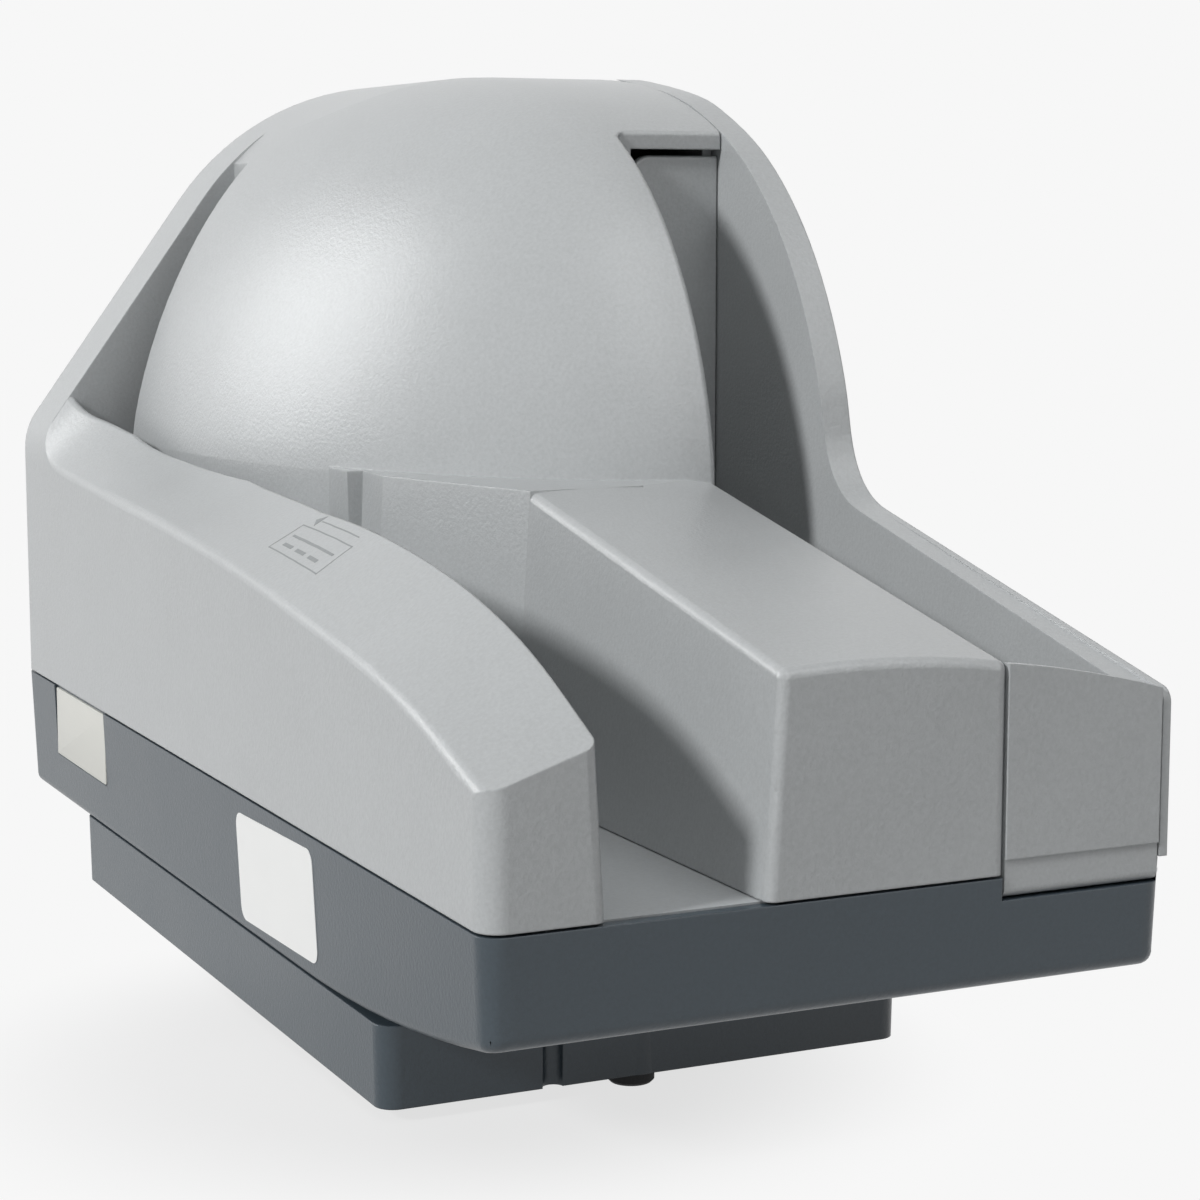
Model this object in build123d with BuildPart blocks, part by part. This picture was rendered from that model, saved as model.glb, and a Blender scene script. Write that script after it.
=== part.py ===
"""Desktop cheque scanner with a U-shaped paper path.

Paper stands on its long edge in the entry pocket at the front left, is pulled through a narrow
throat, runs back along the left side, turns behind the domed core and comes forward into the exit
pocket at the front right. The covers are one moulded shell that hinges at the back, a fixed right
wall and a small flap that folds down in front of the exit pocket.

Millimetres. X to the right, Y to the back, Z up. The origin is under the middle of the machine, on
the surface that it stands on. Distances are mostly given from the left side, from the front face and
from the parting plane, where the light covers meet the dark base.
"""

import os
from math import atan2, cos, degrees, hypot, pi, radians, sin, sqrt, tan

from build123d import *

os.makedirs("parts", exist_ok=True)

# ---------------------------------------------------------------- overall form
width = 150.0
length = 332.0
foot_height = 3.0
pedestal_height = 17.5
base_height = 32.5
shell = 2.5  # wall of the moulded covers
base_wall = 2.8  # wall of the base tub
seam = 0.6  # dark gap between covers and base
running_gap = 0.4  # between a moving cover and the fixed piece beside it
seat_gap = 0.25  # between a cover's lower edge and the deck that carries it
corner = 5.0  # plan radius of the base and the covers

parting = foot_height + pedestal_height + base_height


def across(distance):
    """X of a point at a distance from the left side."""
    return distance - width / 2


def along(distance):
    """Y of a point at a distance from the front face."""
    return distance - length / 2


def up(height):
    """Z of a point at a height above the parting plane."""
    return parting + height


# ---------------------------------------------------------------- dome
dome_right = 113.2  # flat right flank, beside the exit pocket
dome_foot = 66.0  # the flank stands upright below this height
roof = 164.5  # flat crown
dome_top = roof + 0.5  # where the rounded surface would close
dome_reach = 90.6  # from the right flank to the left one, at the foot
hood_front = length - 22.0  # recess wall that the paper turns in front of
dome_back = hood_front - 12.0  # rear wall of the core, at the paper slot
dome_depth = 193.8
dome_centre = length - 12.0
front_roundness = 1.62
front_squareness = 4.08
side_roundness = 1.41
side_squareness = 2.42
dome_shares = [0, 0.03, 0.08, 0.16, 0.25, 0.35, 0.45, 0.55, 0.65, 0.74, 0.82, 0.89, 0.94, 0.975, 1]
dome_levels = [dome_foot + share * (roof - dome_foot) for share in dome_shares]


def dome_front(height):
    """Distance from the front face to the dome at a height above the parting plane."""
    rise = max(0.0, (height - dome_foot) / (dome_top - dome_foot))
    return dome_centre - dome_depth * (1 - rise**front_roundness) ** (1 / front_squareness)


def dome_left(height):
    """Distance from the left side to the dome's flank, at its rear wall."""
    rise = max(0.0, (height - dome_foot) / (dome_top - dome_foot))
    return dome_right - dome_reach * (1 - rise**side_roundness) ** (1 / side_squareness)


# ---------------------------------------------------------------- hood
hood_spring = 66.5  # where the line of the hood's slope meets the left side
hood_foot = 20.0  # radius between the left side and the slope
hood_slope = 54.0  # degrees
hood_arc = 79.3

# ---------------------------------------------------------------- left cover band
band_reach = 50.0  # the twisted top surface is ruled from the left side to this distance
band_shares = [0, 0.029, 0.0775, 0.155, 0.258, 0.419, 0.684, 0.845, 0.929, 0.961, 0.982, 1]
band_stations = [share * hood_front for share in band_shares]
# heights at the left side and at the band's reach; the last pair lies in the hood's slope
band_outer = [25.7, 28.0, 32.6, 38.4, 43.1, 49.2, 55.8, 58.0, 59.4, 60.6, 62.8, 66.4]
band_inner = [42.0, 49.3, 59.6, 70.1, 77.7, 79.6, 71.7, 77.3, 87.0, 97.0, 109.5, 135.2]
band_edge = 2.5  # radius of the crease along the left side

# ---------------------------------------------------------------- paper path
pocket_left = 25.0  # left wall of the entry pocket
pocket_lean = 3.4  # degrees that the left wall leans out at its top
pocket_right = 58.0
throat_front = 172.0
throat_back = 201.0
slot_left = 36.5  # narrow slot at the throat
slot_width = 5.0
nose_top = 56.0  # top of the guide on the left of the throat, below the cover's rim
paper_room = 92.0  # height left for paper on edge under the roof
recess_side = 18.5
recess_corner = 10.7
covered_from = 57.0  # the slot behind the dome is open to the sky left of this
limb_left = 113.2  # right limb of the path, up to the exit pocket
limb_width = 5.0
turn_radius = 22.0
exit_front = 180.6  # front edge of the roof over the exit pocket
cover_right = 142.6 - running_gap
flap_side = 110.8  # left edge of the exit flap

# ---------------------------------------------------------------- middle block
block_left = 57.6
block_front = 43.6
block_rise = 0.19  # slope of the top, rising to the back
block_crown = 0.9  # rise of the top's middle over its left edge
block_fall = 1.9  # drop of its right edge
block_end = 137.0  # where the tapering right side meets the dome
block_length = 160.0
feed_top = 67.0


def dome_section(inset, level):
    """Plan of the dome at a height: a quarter ellipse in front of a straight left side."""
    left_edge = dome_left(level) + inset
    front_edge = dome_front(level) + inset
    right_edge = dome_right - inset
    far_right = across(cover_right - inset)
    with BuildSketch() as outline:
        with BuildLine():
            Line((far_right, along(front_edge)), (across(right_edge), along(front_edge)))
            EllipticalCenterArc(
                (across(right_edge), along(dome_back)),
                right_edge - left_edge,
                dome_back - front_edge,
                start_angle=180,
                arc_size=90,
            )
            Line((across(left_edge), along(dome_back)), (across(left_edge), along(length - inset)))
            Line((across(left_edge), along(length - inset)), (far_right, along(length - inset)))
            Line((far_right, along(length - inset)), (far_right, along(front_edge)))
        make_face()
    return outline.sketch


def dome_body(inset, floor):
    """The dome and the roof behind it, with its walls moved inwards by inset."""
    with BuildPart() as body:
        with BuildSketch(Plane.XY.offset(up(floor))):
            add(dome_section(inset, dome_foot))
        extrude(amount=dome_foot - inset - floor)
        for level in dome_levels:
            with BuildSketch(Plane.XY.offset(up(level - inset))):
                add(dome_section(inset, level))
        loft()
    return body.part


def band_body(inset, floor):
    """Left cover: its twisted top is ruled between the outer crease and a line inside the machine."""
    with BuildPart() as body:
        for distance, heights in ((inset, band_outer), (band_reach, band_inner)):
            crest = [(along(max(y, inset)), up(z - inset)) for y, z in zip(band_stations, heights)]
            rear = along(length - inset)
            with BuildSketch(Plane.YZ.offset(across(distance))):
                with BuildLine():
                    Spline(*crest)
                    Line(crest[-1], (rear, crest[-1][1]))
                    Line((rear, crest[-1][1]), (rear, up(floor)))
                    Line((rear, up(floor)), (crest[0][0], up(floor)))
                    Line((crest[0][0], up(floor)), crest[0])
                make_face()
        loft(ruled=True)
        if not inset:
            crest = (across(0), along(length / 2), up(52))
            fillet(body.edges().sort_by_distance(crest)[0], band_edge)
    return body.part


def hood_trim(inset):
    """Sketch of all that lies outside the hood's foot, slope and arc, seen from the front."""
    slope = radians(hood_slope)
    run = (roof - hood_spring - hood_arc * (1 - cos(slope))) / sin(slope)
    centre_x = run * cos(slope) + hood_arc * sin(slope)
    centre = (across(centre_x), up(roof - hood_arc))
    radius = hood_arc - inset
    bend = (centre[0] - radius * sin(slope), centre[1] + radius * cos(slope))
    mid = (centre[0] - radius * sin(slope / 2), centre[1] + radius * cos(slope / 2))
    crest = (centre[0], centre[1] + radius)
    turn = pi / 2 - slope
    foot = (across(hood_foot), up(hood_spring - hood_foot * tan(turn / 2)))
    foot_radius = hood_foot - inset
    start = (foot[0] - foot_radius, foot[1])
    foot_mid = (foot[0] - foot_radius * cos(turn / 2), foot[1] + foot_radius * sin(turn / 2))
    foot_end = (foot[0] - foot_radius * cos(turn), foot[1] + foot_radius * sin(turn))
    far = (across(-30), up(roof + 30))
    with BuildSketch() as outline:
        with BuildLine():
            Line((far[0], start[1]), start)
            ThreePointArc(start, foot_mid, foot_end)
            Line(foot_end, bend)
            ThreePointArc(bend, mid, crest)
            Polyline(crest, (crest[0], far[1]), far, (far[0], start[1]))
        make_face()
    return outline.sketch


def corner_trim(inset, rear):
    """Sketch of what a rounded plan corner on the left side leaves outside."""
    side = 1 if rear else -1
    radius = corner - inset
    centre = (across(corner), along(length - corner) if rear else along(corner))
    left = (centre[0] - radius, centre[1])
    edge = (centre[0], centre[1] + side * radius)
    mid = (centre[0] - radius * sqrt(0.5), centre[1] + side * radius * sqrt(0.5))
    out = 10.0
    with BuildSketch() as outline:
        with BuildLine():
            ThreePointArc(left, mid, edge)
            Polyline(edge, (edge[0], edge[1] + side * out), (left[0] - out, edge[1] + side * out))
            Polyline((left[0] - out, edge[1] + side * out), (left[0] - out, left[1]), left)
        make_face()
    return outline.sketch


def middle_block(inset, floor):
    """Block between the two pockets: a crowned section pushed back along its rising top."""
    with BuildPart() as body:
        with BuildSketch(Plane.XZ.offset(-along(inset))):
            with BuildLine():
                left_top = (across(block_left + inset), up(block_front - inset))
                middle = (block_left + limb_left) / 2
                crown = (across(middle), up(block_front + block_crown - inset))
                right_top = (across(limb_left - inset), up(block_front - block_fall - inset))
                ThreePointArc(left_top, crown, right_top)
                Polyline(right_top, (right_top[0], up(-40)), (left_top[0], up(-40)), left_top)
            make_face()
        extrude(amount=block_length * sqrt(1 + block_rise**2), dir=(0, 1, block_rise))
        with BuildSketch(Plane.XY.offset(up(floor))):
            Rectangle(2 * width, 2 * length)
        extrude(amount=-60, mode=Mode.SUBTRACT)
        with BuildSketch(Plane.XY.offset(up(feed_top - inset))):
            Rectangle(2 * width, 2 * length)
        extrude(amount=60, mode=Mode.SUBTRACT)
        with BuildSketch(Plane.XY.offset(up(floor))):
            with BuildLine():
                Polyline(
                    (across(flap_side - inset), along(-5)),
                    (across(limb_left - inset), along(block_end)),
                    (across(cover_right), along(block_end)),
                    (across(cover_right), along(-5)),
                    close=True,
                )
            make_face()
        extrude(amount=80, mode=Mode.SUBTRACT)
    return body.part


def plan(points, grow=0.0):
    """Closed outline in plan, from distances to the left side and the front, grown outwards."""
    with BuildSketch() as outline:
        with BuildLine():
            Polyline(*[(across(x), along(y)) for x, y in points], close=True)
        make_face()
        if grow:
            offset(amount=grow, kind=Kind.INTERSECTION)
    return outline.sketch


def rectangle(left, right, front, back):
    """Corners of a rectangle in plan."""
    return [(left, front), (right, front), (right, back), (left, back)]


slot_right = slot_left + slot_width
pocket_outline = [
    (pocket_left, -8),
    (pocket_right, -8),
    (pocket_right, 118),
    (slot_right, 166),
    (slot_right, throat_front + 4),
    (slot_left, throat_front + 4),
    (slot_left, 168),
    (pocket_left, 142),
]
throat_outline = rectangle(slot_left, slot_right, 160, throat_back)
band_end_outline = rectangle(slot_left, 2 * band_reach, -20, length)
nose_outline = [
    (21.3, 141),
    (pocket_left + 0.5, throat_back + 13),
    (slot_left + 0.5, throat_back + 0.5),
    (slot_left + 0.5, 141),
]
recess_outline = [
    (slot_left, throat_back),
    (pocket_left + 0.5, throat_back + 13),
    (recess_side, 278),
    (recess_corner, hood_front),
    (covered_from, hood_front),
    (covered_from, throat_back),
]
feed_outline = [
    (pocket_right - 0.4, 118),
    (slot_right, 166),
    (slot_right, throat_back - 8),
    (90, throat_back - 8),
    (90, 118),
]


def covered_path(grow):
    """Paper slot under the roof: behind the core, round the rear right corner and forward."""
    inner_turn = (limb_left - turn_radius, dome_back - turn_radius)
    outer_radius = turn_radius + limb_width
    outer_turn = (limb_left - turn_radius, hood_front - outer_radius)
    diagonal = sqrt(0.5)
    right = limb_left + limb_width
    with BuildSketch() as outline:
        with BuildLine():
            Line((across(limb_left), along(inner_turn[1])), (across(limb_left), along(exit_front - 10)))
            Line((across(limb_left), along(exit_front - 10)), (across(right), along(exit_front - 10)))
            Line((across(right), along(exit_front - 10)), (across(right), along(outer_turn[1])))
            ThreePointArc(
                (across(right), along(outer_turn[1])),
                (
                    across(outer_turn[0] + outer_radius * diagonal),
                    along(outer_turn[1] + outer_radius * diagonal),
                ),
                (across(outer_turn[0]), along(hood_front)),
            )
            Line((across(outer_turn[0]), along(hood_front)), (across(recess_side), along(hood_front)))
            Line((across(recess_side), along(hood_front)), (across(recess_side), along(dome_back)))
            Line((across(recess_side), along(dome_back)), (across(inner_turn[0]), along(dome_back)))
            ThreePointArc(
                (across(inner_turn[0]), along(dome_back)),
                (
                    across(inner_turn[0] + turn_radius * diagonal),
                    along(inner_turn[1] + turn_radius * diagonal),
                ),
                (across(limb_left), along(inner_turn[1])),
            )
        make_face()
        if grow:
            offset(amount=grow, kind=Kind.INTERSECTION)
    return outline.sketch


def cover_form(inset):
    """Solid form of the moulded cover, with every wall moved inwards by inset."""
    floor = -inset
    tall = 2 * roof
    with BuildPart() as form:
        add(band_body(inset, floor))
        # the band stops at the throat and at the recess behind it
        with BuildSketch(Plane.XY.offset(up(floor - 1))):
            add(plan(band_end_outline, inset))
        extrude(amount=tall, mode=Mode.SUBTRACT)
        with BuildSketch(Plane.XY.offset(up(floor - 1))):
            add(plan(recess_outline, inset))
        extrude(amount=tall, mode=Mode.SUBTRACT)
        with BuildSketch(Plane.XY.offset(up(nose_top - inset))):
            add(plan(nose_outline, inset))
        extrude(amount=tall, mode=Mode.SUBTRACT)
        # feed block and middle block, with the entry pocket and the throat beside them
        with BuildSketch(Plane.XY.offset(up(floor))):
            add(plan(feed_outline, -inset))
        extrude(amount=feed_top - inset - floor)
        add(middle_block(inset, floor))
        with BuildSketch(Plane.XY.offset(up(floor - 1))):
            add(plan(pocket_outline, inset))
        extrude(amount=paper_room, taper=-pocket_lean, mode=Mode.SUBTRACT)
        with BuildSketch(Plane.XY.offset(up(floor - 1))):
            add(plan(throat_outline, inset))
        extrude(amount=paper_room, mode=Mode.SUBTRACT)
        add(dome_body(inset, floor))
        # hood behind the recess
        with BuildSketch(Plane.XY.offset(up(floor))):
            add(plan(rectangle(inset, cover_right - inset, hood_front + inset, length - inset)))
        extrude(amount=roof - inset - floor)
        with BuildSketch(Plane.XZ.offset(-along(-1))):
            add(hood_trim(inset))
        extrude(amount=-(length + 2), mode=Mode.SUBTRACT)
        for rear in (False, True):
            with BuildSketch(Plane.XY.offset(up(floor - 1))):
                add(corner_trim(inset, rear))
            extrude(amount=tall, mode=Mode.SUBTRACT)
        # slot behind the core and forward again, open to the sky on the left
        with BuildSketch(Plane.XY.offset(up(floor - 1))):
            add(covered_path(inset))
        extrude(amount=paper_room + inset - floor + 1, mode=Mode.SUBTRACT)
        with BuildSketch(Plane.XY.offset(up(floor - 1))):
            add(plan(rectangle(recess_side, covered_from, dome_back, hood_front), inset))
        extrude(amount=tall, mode=Mode.SUBTRACT)
        # exit pocket in front of the right flank
        with BuildSketch(Plane.XY.offset(up(floor - 1))):
            add(plan(rectangle(limb_left, 2 * width, -length, exit_front), inset))
        extrude(amount=tall, mode=Mode.SUBTRACT)
    return form.part


def rounded(form, radius, places):
    """Form with the edges nearest to the places rounded."""
    points = [(across(x), along(y), up(z)) for x, y, z in places]
    return form.fillet(radius, [form.edges().sort_by_distance(point)[0] for point in points])


def cover_outside():
    """Outside of the moulded cover, with its free edges rounded."""
    form = cover_form(0).solids()[0]
    # dome, with the lip of its roof over the exit pocket
    lip = (dome_right + cover_right) / 2
    flank = (dome_front(114), 219.5)
    edges = [(dome_right, flank[0], 114), (dome_right, flank[1], roof - 4), (lip, exit_front, 148)]
    form = rounded(form, 1.5, edges)
    # rim of the recess behind the throat
    back_corner = (recess_side + recess_corner) / 2
    form = rounded(form, 1.5, [(22, throat_back + 45, 66.6), (back_corner, hood_front - 16, 74)])
    # feed block and middle block
    half_block = block_front / 2
    edges = [(block_left, 0, half_block), (flap_side, 0, half_block), (85, 0, block_front)]
    form = rounded(form, 2.0, edges + [(61, 60, 55), (112, 63, 54)])
    form = rounded(form, 2.5, [(pocket_left, 0, band_outer[0] - 8)])
    return rounded(form, 1.0, [(cover_right, length, roof / 5)])


def block(x, y, z, mode=Mode.ADD):
    """Box between pairs of distances from the left side, the front face and the parting plane."""
    with Locations((across(sum(x) / 2), along(sum(y) / 2), up(sum(z) / 2))):
        Box(x[1] - x[0], y[1] - y[0], z[1] - z[0], mode=mode)


def post(place, z, radius, mode=Mode.ADD):
    """Upright cylinder at a place in plan, between two heights."""
    with Locations((across(place[0]), along(place[1]), up(sum(z) / 2))):
        Cylinder(radius, z[1] - z[0], mode=mode)


def rod(x, place, radius, mode=Mode.ADD):
    """Cylinder along X between two distances, at a distance from the front and a height."""
    with Locations((across(sum(x) / 2), along(place[0]), up(place[1]))):
        Cylinder(radius, x[1] - x[0], rotation=(0, 90, 0), mode=mode)


def save(name, piece, colour):
    """Write one named piece."""
    piece.label = name
    piece.color = Color(*colour)
    export_step(piece, f"parts/{name}.step")


# ---------------------------------------------------------------- colours of the materials
light_plastic = (0.75, 0.77, 0.78)
dark_plastic = (0.27, 0.30, 0.33)
black_plastic = (0.08, 0.08, 0.09)
white_plastic = (0.85, 0.85, 0.82)
steel = (0.62, 0.63, 0.65)
rubber = (0.06, 0.06, 0.06)
board_green = (0.08, 0.32, 0.18)
glass = (0.75, 0.85, 0.88)

# ---------------------------------------------------------------- cover
cover_hinge = (length - 3.2, 11.0)  # hinge axis: distance from the front and height
knuckle = 3.0
pin = 1.25
fit = 0.05  # clearance of a pin or shaft in its bore
fixed_knuckles = [(29.0, 35.0), (115.0, 121.0)]
knuckle_length = 4.6
lip_bottom = 144.0
bay_left = 117.2
bay_back = 185.4

drive_radius = 11.95
drive_x = limb_left - 9.6
drive_places = {
    "feed": (52.5, throat_back - 15.0),
    "exit_drive": (drive_x, exit_front + 22.4),
    "turn_drive": (drive_x, dome_back - 36.0),
}
tyre_span = (8.0, 38.0)
notch_top = tyre_span[1] + 3
pinch_radius = 8.0
pinch_x = drive_x + drive_radius + 0.3 + pinch_radius
notch_front = 5.0  # room in front of a roller, which the cover needs as it swings
notch_back = 2.5
head_place = 231.5  # magnetic head, from the front face
left_camera_place = dome_back - 45.0
right_camera_place = 231.0
printer_place = 236.0

with BuildPart() as top_cover:
    add(cover_outside())
    add(cover_form(shell), mode=Mode.SUBTRACT)
    # the moulding is cut away round the fixed exit panel
    block((bay_left, cover_right + 1), (exit_front - 1, bay_back), (-5, lip_bottom), Mode.SUBTRACT)
    # openings that the rollers, the reading head and the cameras reach or look through
    inner_flank = (limb_left - shell - 0.5, limb_left + 0.5)
    outer_flank = (limb_left + limb_width - 0.5, limb_left + limb_width + shell + 0.5)
    for x, y, top in (
        ((slot_right - 1, slot_right + shell + 3), (throat_front - 5, throat_back - 1), notch_top),
        ((slot_left - shell - 1, slot_left + 1), (throat_front - 1, throat_back - 3.5), notch_top),
        ((19, 26.5), (head_place - 9.5, head_place + 8.5), 24),
        ((16, 24), (left_camera_place - 3, left_camera_place + 3), 52),
        (inner_flank, (right_camera_place - 3, right_camera_place + 3), 52),
        (outer_flank, (printer_place - 5, printer_place + 5), 34),
    ):
        block(x, y, (-1, top), Mode.SUBTRACT)
    for name in ("exit_drive", "turn_drive"):
        centre = drive_places[name][1]
        for x, radius in ((inner_flank, drive_radius), (outer_flank, pinch_radius)):
            y = (centre - radius - notch_front, centre + radius + notch_back)
            block(x, y, (-1, notch_top), Mode.SUBTRACT)
    # knuckles, and notches in the rear wall round the fixed ones
    for start, end in fixed_knuckles:
        left, right = start - running_gap, end + running_gap
        block((left, right), (length - 8, length + 1), (-1, 14.6), Mode.SUBTRACT)
        rod((left - knuckle_length, left), cover_hinge, knuckle)
        rod((right, right + knuckle_length), cover_hinge, knuckle)
    for start, end in fixed_knuckles:
        rod((start - 8, end + 8), cover_hinge, pin + fit, Mode.SUBTRACT)
save("top_cover", top_cover.part, light_plastic)

# ---------------------------------------------------------------- right cover
cover_left = cover_right + running_gap
side_wall = 2.0
strip_left = width - 1.9  # narrow front edge of the right cover, beside the flap
strip_front = 0.3
profile_shares = [0.1, 0.18, 0.27, 0.38, 0.49, 0.6, 0.71, 0.81, 0.89, 0.95, 0.988]
profile_heights = [dome_foot + share * (roof - dome_foot) for share in profile_shares]
sill_start = 3.0
sill_rise = (33.9, 59.6)  # height of the pocket's side at the front and at the foot of the arch
sill_end = 111.0


def right_profile(inset, front):
    """Side view of the right cover: rising sill, arch like the dome's and flat roof."""
    crown = (along(dome_front(roof) + inset), up(roof - inset))
    arch = [(along(dome_front(height) + inset), up(height - inset / 2)) for height in profile_heights]
    low = (along(front + inset), up(sill_rise[0] - inset))
    foot = (along(sill_end), up(sill_rise[1] - inset))
    rear = along(length - inset)
    with BuildSketch() as outline:
        with BuildLine():
            Line(low, foot)
            Spline(foot, *arch, crown, tangents=[(1, 0.23), (1, 0.12)])
            Polyline(crown, (rear, up(roof - inset)), (rear, up(-inset)), (low[0], up(-inset)), low)
        make_face()
    return outline.sketch


with BuildPart() as right_cover:
    with BuildSketch(Plane.YZ.offset(across(cover_left))):
        add(right_profile(0, sill_start))
    extrude(amount=width - cover_left)
    with BuildSketch(Plane.YZ.offset(across(strip_left))):
        add(right_profile(0, strip_front))
    extrude(amount=width - strip_left)
    with BuildSketch(Plane.YZ.offset(across(cover_left + side_wall))):
        add(right_profile(side_wall, sill_start))
    extrude(amount=width - cover_left - 2 * side_wall, mode=Mode.SUBTRACT)
save("right_cover", right_cover.part, light_plastic)

# ---------------------------------------------------------------- base
deck_top = -seat_gap
deck_thickness = 2.5
deck_bottom = deck_top - deck_thickness
rim = -seam
base_bottom = -base_height
floor_top = base_bottom + base_wall
ledge = 1.5  # width of the step in the tub that the deck lies on
base_draft = 2.2
belly_radius = 505.0
belly_tangent = 102.0
flap_left = flap_side + running_gap
flap_right = width - 1.9 - running_gap
flap_axis = (2.4, -2.9)
flap_knuckle = 1.9
flap_pin = 1.0


def tub_form(inset, top, bottom):
    """Drafted tub with rounded corners and a belly that rises to the front."""
    shrink = inset + tan(radians(base_draft)) * (rim - top)
    with BuildPart() as form:
        with BuildSketch(Plane.XY.offset(up(top))):
            RectangleRounded(width - 2 * shrink, length - 2 * shrink, max(corner - inset, 1.0))
        extrude(amount=bottom - top, taper=base_draft)
        with BuildSketch(Plane.YZ.offset(-width)):
            with Locations((along(belly_tangent), up(base_bottom + belly_radius))):
                Circle(belly_radius - inset)
            with Locations((along(belly_tangent) + length, up(0))):
                Rectangle(2 * length, 2 * length)
        extrude(amount=2 * width, mode=Mode.INTERSECT)
    return form.part


usb_span = (40.0, 53.0)
usb_height = (-25.5, -14.0)
inlet_span = (92.0, 104.0)
inlet_height = (-25.5, -13.5)
port_gap = 0.3
pedestal_box = (1.9, width - 27.0, 57.5, length - 52.4)
pedestal_wall = 3.0
board_posts = [(x, y) for x in (20, width - 20) for y in (length - 126, length - 26)]
deck_posts = [(x, y) for x in (10, width - 10) for y in (60, length - 82)]
screw_radius = 1.4

with BuildPart() as base_housing:
    add(tub_form(0, rim, base_bottom))
    add(tub_form(base_wall, rim, deck_bottom), mode=Mode.SUBTRACT)
    add(tub_form(base_wall + ledge, deck_bottom, floor_top), mode=Mode.SUBTRACT)
    # step in the front rim, where the flap turns
    block((flap_left - 0.7, flap_right + 0.6), (-1, 5.3), (-5.2, 1), Mode.SUBTRACT)
    block((flap_left - 4.5, flap_left - 0.7), (1, 5.3), (-6, rim))
    rod((flap_left - 3.0, flap_right + 1.0), flap_axis, flap_pin + 0.02, Mode.SUBTRACT)
    # bare recess for a name plate on the left side
    block((-1, 1), (252.5, 302), (-20, 1), Mode.SUBTRACT)
    # openings for the sockets
    for span, height in ((usb_span, usb_height), (inlet_span, inlet_height)):
        block(
            (span[0] - port_gap, span[1] + port_gap),
            (length - 6, length + 1),
            (height[0] - port_gap, height[1] + port_gap),
            Mode.SUBTRACT,
        )
    for place in board_posts:
        post(place, (floor_top - 0.5, floor_top + 3.0), 3.2)
    for place in deck_posts:
        post(place, (floor_top - 0.5, deck_bottom), 3.5)
save("base_housing", base_housing.part, dark_plastic)

foot_radius = 5.0
foot_places = [(60.7, 64.0), *((x, y) for x in (12, width - 38) for y in (72, length - 66))]
groove_x = 39.8
pedestal_bottom = -base_height - pedestal_height

with BuildPart() as pedestal:
    left, right, front, back = pedestal_box
    breadth, depth = right - left, back - front
    centre = (across((left + right) / 2), along((front + back) / 2))
    with BuildSketch(Plane.XY.offset(up(base_bottom))):
        with Locations(centre):
            RectangleRounded(breadth, depth, 4.5)
    extrude(amount=-pedestal_height, taper=1.0)
    with BuildSketch(Plane.XY.offset(up(base_bottom - pedestal_wall))):
        with Locations(centre):
            RectangleRounded(breadth - 2 * pedestal_wall, depth - 2 * pedestal_wall, 2.0)
    extrude(amount=-pedestal_height, taper=1.0, mode=Mode.SUBTRACT)
    for place in foot_places:
        post(place, (pedestal_bottom, base_bottom - pedestal_wall + 0.5), foot_radius + 1.5)
    post((groove_x, front), (pedestal_bottom - 1, base_bottom + 1), 2.3, Mode.SUBTRACT)
save("pedestal", pedestal.part, dark_plastic)

with BuildPart() as feet:
    for place in foot_places:
        post(place, (pedestal_bottom - foot_height, pedestal_bottom), foot_radius)
    chamfer(feet.faces().filter_by(Axis.Z).sort_by(Axis.Z)[:5].edges(), 0.6)
save("feet", feet.part, rubber)

# ---------------------------------------------------------------- deck
shaft_radius = 2.5
bearing_radius = 5.0
boss_radius = 7.5
boss_bottom = -9.5
motor_place = (84.0, 84.0)
pivot_radius = 1.5
pivot_x = cover_right - 10.2
pinch_pivots = {
    "exit_pinch": (pivot_x, drive_places["exit_drive"][1] + 14.0),
    "turn_pinch": (pivot_x, drive_places["turn_drive"][1] + 19.0),
}
separator_pivot = (28.5, throat_back - 5.0)
deck_left = base_wall + 0.3
deck_back = length - 6.0

with BuildPart() as track_deck:
    with BuildSketch(Plane.XY.offset(up(deck_bottom))):
        with Locations((0, along((deck_left + deck_back) / 2))):
            RectangleRounded(width - 2 * deck_left, deck_back - deck_left, corner - base_wall)
    extrude(amount=deck_thickness)
    block((flap_left - 5.0, flap_right + 0.9), (0, 5.5), (deck_bottom - 1, 1), Mode.SUBTRACT)
    for place in drive_places.values():
        post(place, (boss_bottom, deck_bottom), boss_radius)
    for place in drive_places.values():
        post(place, (boss_bottom - 1, 1), bearing_radius, Mode.SUBTRACT)
    post(motor_place, (deck_bottom - 1, 1), 11.2, Mode.SUBTRACT)
    for pivot in [*pinch_pivots.values(), separator_pivot]:
        post(pivot, (deck_bottom - 1, 1), pivot_radius, Mode.SUBTRACT)
save("track_deck", track_deck.part, light_plastic)

# ---------------------------------------------------------------- exit panel and flap
panel_front = 182.4
panel_thickness = 2.5
panel_top = 142.5
panel_left = 118.5

with BuildPart() as exit_panel:
    block((panel_left, cover_right), (panel_front, panel_front + panel_thickness), (deck_top, panel_top))
    upright = exit_panel.edges().filter_by(Axis.Y)
    fillet(upright.group_by(Axis.Z)[-1].sort_by(Axis.X)[0], 5.0)
    fillet(exit_panel.faces().sort_by(Axis.Y)[0].edges().group_by(Axis.Z)[-1], 1.0)
save("exit_panel", exit_panel.part, light_plastic)

flap_crest = [(flap_left, 42.0), (122.8, 40.3), (134.7, 37.9), (144.5, 35.5), (flap_right, 34.6)]
flap_thickness = 2.2
flap_ridge = 3.0
strip_recess = flap_axis[0] - flap_knuckle

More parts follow.
